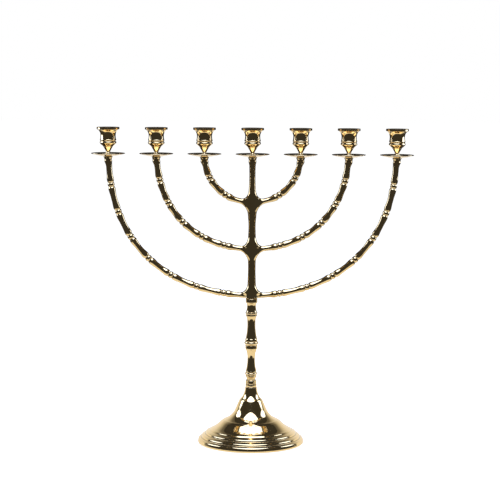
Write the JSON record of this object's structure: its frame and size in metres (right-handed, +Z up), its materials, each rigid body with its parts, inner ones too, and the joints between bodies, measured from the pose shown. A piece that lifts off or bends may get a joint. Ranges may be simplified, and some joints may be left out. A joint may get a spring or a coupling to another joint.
{
  "type": "seven-branched candelabrum",
  "caption": "Free-standing branched candelabrum in polished brass: bamboo-pattern arms on one shaft, lift-off candle cups and drip pans, turned stem and bell-shaped foot.",
  "frame": {"origin": "centre of the felt pad's underside, where the foot meets the table, on the stem's axis", "axes": "+X along the row of candle cups, +Y from front to back across the flat plane of the arms, +Z up along the stem"},
  "size_m": [0.5056, 0.1684, 0.5],
  "materials": {
    "candelabrum_brass": "mirror-polished cast brass, lightly lacquered, faint polishing lines",
    "cup_brass": "mirror-polished turned brass, duller inside the bore",
    "pan_brass": "polished thin spun brass, fine concentric turning lines",
    "stem_brass": "mirror-polished turned brass, darker in the grooves",
    "foot_brass": "mirror-polished brass with fine concentric turning lines",
    "steel": "zinc-plated steel, dull",
    "felt": "dark green pressed wool felt"
  },
  "bodies": {
    "stand": {"candelabrum": "candelabrum_brass", "cup_stud_1": "steel", "cup_stud_2": "steel", "cup_stud_3": "steel", "cup_stud_4": "steel", "cup_stud_5": "steel", "cup_stud_6": "steel", "cup_stud_7": "steel", "stem_upper": "stem_brass", "stem_lower": "stem_brass", "base_collar": "stem_brass", "base_bell": "foot_brass", "base_washer": "steel", "base_nut": "steel", "tie_rod": "steel", "base_plate": "steel", "felt_pad": "felt"},
    "pan_1": {"drip_pan_1": "pan_brass"},
    "cup_1": {"candle_cup_1": "cup_brass"},
    "pan_2": {"drip_pan_2": "pan_brass"},
    "cup_2": {"candle_cup_2": "cup_brass"},
    "pan_3": {"drip_pan_3": "pan_brass"},
    "cup_3": {"candle_cup_3": "cup_brass"},
    "pan_4": {"drip_pan_4": "pan_brass"},
    "cup_4": {"candle_cup_4": "cup_brass"},
    "pan_5": {"drip_pan_5": "pan_brass"},
    "cup_5": {"candle_cup_5": "cup_brass"},
    "pan_6": {"drip_pan_6": "pan_brass"},
    "cup_6": {"candle_cup_6": "cup_brass"},
    "pan_7": {"drip_pan_7": "pan_brass"},
    "cup_7": {"candle_cup_7": "cup_brass"}
  },
  "joints": [
    {"name": "cup_lift_1", "type": "slide", "parent": "stand", "child": "cup_1", "axis": [0, 0, 1], "range_m": [0, 0.04]},
    {"name": "cup_lift_2", "type": "slide", "parent": "stand", "child": "cup_2", "axis": [0, 0, 1], "range_m": [0, 0.04]},
    {"name": "cup_lift_3", "type": "slide", "parent": "stand", "child": "cup_3", "axis": [0, 0, 1], "range_m": [0, 0.04]},
    {"name": "cup_lift_4", "type": "slide", "parent": "stand", "child": "cup_4", "axis": [0, 0, 1], "range_m": [0, 0.04]},
    {"name": "cup_lift_5", "type": "slide", "parent": "stand", "child": "cup_5", "axis": [0, 0, 1], "range_m": [0, 0.04]},
    {"name": "cup_lift_6", "type": "slide", "parent": "stand", "child": "cup_6", "axis": [0, 0, 1], "range_m": [0, 0.04]},
    {"name": "cup_lift_7", "type": "slide", "parent": "stand", "child": "cup_7", "axis": [0, 0, 1], "range_m": [0, 0.04]},
    {"name": "pan_lift_1", "type": "slide", "parent": "stand", "child": "pan_1", "axis": [0, 0, 1], "range_m": [0, 0.02]},
    {"name": "pan_lift_2", "type": "slide", "parent": "stand", "child": "pan_2", "axis": [0, 0, 1], "range_m": [0, 0.02]},
    {"name": "pan_lift_3", "type": "slide", "parent": "stand", "child": "pan_3", "axis": [0, 0, 1], "range_m": [0, 0.02]},
    {"name": "pan_lift_4", "type": "slide", "parent": "stand", "child": "pan_4", "axis": [0, 0, 1], "range_m": [0, 0.02]},
    {"name": "pan_lift_5", "type": "slide", "parent": "stand", "child": "pan_5", "axis": [0, 0, 1], "range_m": [0, 0.02]},
    {"name": "pan_lift_6", "type": "slide", "parent": "stand", "child": "pan_6", "axis": [0, 0, 1], "range_m": [0, 0.02]},
    {"name": "pan_lift_7", "type": "slide", "parent": "stand", "child": "pan_7", "axis": [0, 0, 1], "range_m": [0, 0.02]}
  ],
  "couplings": [
    {"joint": "pan_lift_1", "follows": "cup_lift_1", "ratio": 0.5},
    {"joint": "pan_lift_2", "follows": "cup_lift_2", "ratio": 0.5},
    {"joint": "pan_lift_3", "follows": "cup_lift_3", "ratio": 0.5},
    {"joint": "pan_lift_4", "follows": "cup_lift_4", "ratio": 0.5},
    {"joint": "pan_lift_5", "follows": "cup_lift_5", "ratio": 0.5},
    {"joint": "pan_lift_6", "follows": "cup_lift_6", "ratio": 0.5},
    {"joint": "pan_lift_7", "follows": "cup_lift_7", "ratio": 0.5}
  ]
}
